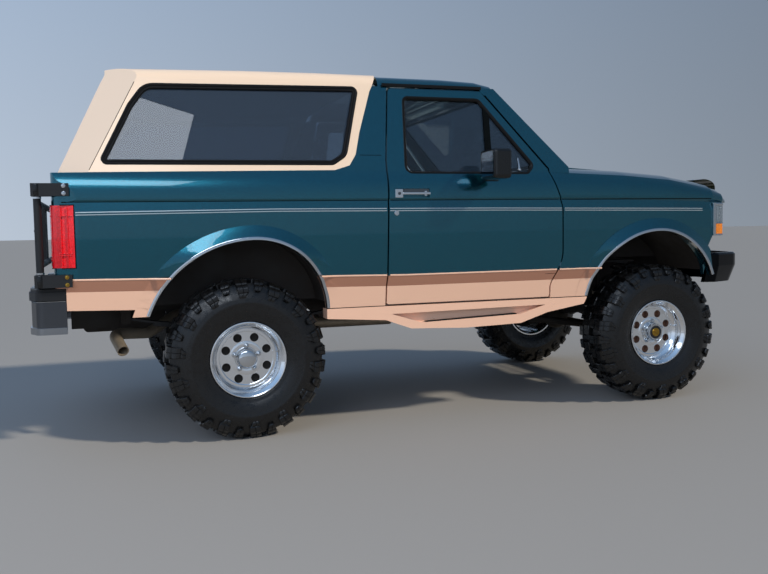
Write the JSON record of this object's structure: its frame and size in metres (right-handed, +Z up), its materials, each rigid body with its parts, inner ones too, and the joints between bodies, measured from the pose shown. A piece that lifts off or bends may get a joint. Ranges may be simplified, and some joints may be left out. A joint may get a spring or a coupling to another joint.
{
  "type": "lifted off-road 4x4",
  "caption": "Full-size two-door off-road 4x4 raised on big mud tyres, with a slanted rear top, step boards, flared arches and a swing-away tyre carrier frame.",
  "frame": {"origin": "on the ground, at mid length and mid width", "axes": "+X forward, +Y to the vehicle's left, +Z up"},
  "size_m": [4.57, 2.47, 2.062],
  "materials": {
    "body_paint": "deep metallic gloss",
    "band_paint": "gloss",
    "top_shell": "moulded glass fibre, gloss",
    "chassis_paint": "satin black",
    "cast_parts": "rough casting",
    "spring_steel": "satin black",
    "bright_trim": "polished",
    "wheel_alloy": "polished",
    "steel": "worn",
    "tyre": "matt",
    "black_plastic": "grained",
    "tinted_glass": "tinted",
    "smoked_acrylic": "smoked, clear gloss",
    "clear_glass": "clear",
    "red_lens": "clear moulded lens",
    "lamp_lens": "clear moulded lens",
    "seat_cloth": "woven",
    "dash_plastic": "grained"
  },
  "bodies": {
    "chassis": {"frame_rails": "chassis_paint", "frame_crossmembers": "chassis_paint", "power_unit": "cast_parts", "propeller_shafts": "steel", "front_axle": "cast_parts", "coil_springs": "spring_steel", "rear_axle": "cast_parts", "leaf_springs": "spring_steel", "shock_absorbers": "steel", "fuel_tank": "chassis_paint", "exhaust": "steel", "floor_pan": "body_paint", "rear_wheelhouses": "body_paint", "cowl_firewall": "body_paint", "door_hinges": "body_paint", "quarter_panels": "body_paint", "cab_roof": "body_paint", "rear_top": "top_shell", "fixed_glass": "tinted_glass", "front_fenders": "body_paint", "inner_fenders": "chassis_paint", "radiator_support": "chassis_paint", "grille": "black_plastic", "headlamps": "lamp_lens", "tail_lamps": "red_lens", "front_bumper": "chassis_paint", "rear_bumper": "bright_trim", "running_boards": "band_paint", "tailgate": "body_paint", "carrier_brackets": "chassis_paint", "front_seats": "seat_cloth", "rear_seat": "seat_cloth", "dashboard": "dash_plastic"},
    "door_left": {"door_left": "body_paint", "door_glass_left": "clear_glass", "mirror_left": "black_plastic"},
    "door_right": {"door_right": "body_paint", "door_glass_right": "clear_glass", "mirror_right": "black_plastic"},
    "hood": {"hood": "body_paint", "hood_deflector": "smoked_acrylic"},
    "tyre_carrier": {"tyre_carrier": "chassis_paint"},
    "steering_wheel": {"steering_wheel": "dash_plastic"},
    "knuckle_left": {"knuckle_left": "cast_parts"},
    "knuckle_right": {"knuckle_right": "cast_parts"},
    "tie_rod": {"tie_rod": "steel"},
    "wheel_rear_left": {"tyre_rear_left": "tyre", "rim_rear_left": "wheel_alloy"},
    "wheel_rear_right": {"tyre_rear_right": "tyre", "rim_rear_right": "wheel_alloy"},
    "wheel_front_left": {"tyre_front_left": "tyre", "rim_front_left": "wheel_alloy"},
    "wheel_front_right": {"tyre_front_right": "tyre", "rim_front_right": "wheel_alloy"}
  },
  "joints": [
    {"name": "rear_left_spin", "type": "hinge", "parent": "chassis", "child": "wheel_rear_left", "pos_m": [-1.168, 0.845, 0.44], "axis": [0, 1, 0], "continuous": true},
    {"name": "rear_right_spin", "type": "hinge", "parent": "chassis", "child": "wheel_rear_right", "pos_m": [-1.168, -0.845, 0.44], "axis": [0, 1, 0], "continuous": true},
    {"name": "front_left_spin", "type": "hinge", "parent": "knuckle_left", "child": "wheel_front_left", "pos_m": [1.491, 0.845, 0.44], "axis": [0, 1, 0], "continuous": true},
    {"name": "front_right_spin", "type": "hinge", "parent": "knuckle_right", "child": "wheel_front_right", "pos_m": [1.491, -0.845, 0.44], "axis": [0, 1, 0], "continuous": true},
    {"name": "steer_left", "type": "hinge", "parent": "chassis", "child": "knuckle_left", "pos_m": [1.491, 0.8, 0.44], "axis": [0, 0, 1], "range_deg": [-28, 28]},
    {"name": "steer_right", "type": "hinge", "parent": "chassis", "child": "knuckle_right", "pos_m": [1.491, -0.8, 0.44], "axis": [0, 0, 1], "range_deg": [-28, 28]},
    {"name": "tie_rod_end", "type": "hinge", "parent": "knuckle_left", "child": "tie_rod", "pos_m": [1.599, 0.8, 0.404], "axis": [0, 0, 1], "range_deg": [-28, 28]},
    {"name": "steering_turn", "type": "hinge", "parent": "chassis", "child": "steering_wheel", "pos_m": [0.4389, 0.4, 1.3157], "axis": [-0.848, 0, 0.5299], "range_deg": [-476, 476]},
    {"name": "door_left_hinge", "type": "hinge", "parent": "chassis", "child": "door_left", "pos_m": [0.67, 0.98, 1.065], "axis": [0, 0, -1], "range_deg": [0, 65]},
    {"name": "door_right_hinge", "type": "hinge", "parent": "chassis", "child": "door_right", "pos_m": [0.67, -0.98, 1.065], "axis": [0, 0, 1], "range_deg": [0, 65]},
    {"name": "hood_hinge", "type": "hinge", "parent": "chassis", "child": "hood", "pos_m": [0.955, 0, 1.49], "axis": [0, -1, 0], "range_deg": [0, 50]},
    {"name": "carrier_swing", "type": "hinge", "parent": "chassis", "child": "tyre_carrier", "pos_m": [-2.205, -0.958, 1.134], "axis": [0, 0, 1], "range_deg": [0, 110]}
  ],
  "couplings": [
    {"joint": "steer_right", "follows": "steer_left", "ratio": 1},
    {"joint": "tie_rod_end", "follows": "steer_left", "ratio": -1},
    {"joint": "steering_turn", "follows": "steer_left", "ratio": 17}
  ]
}
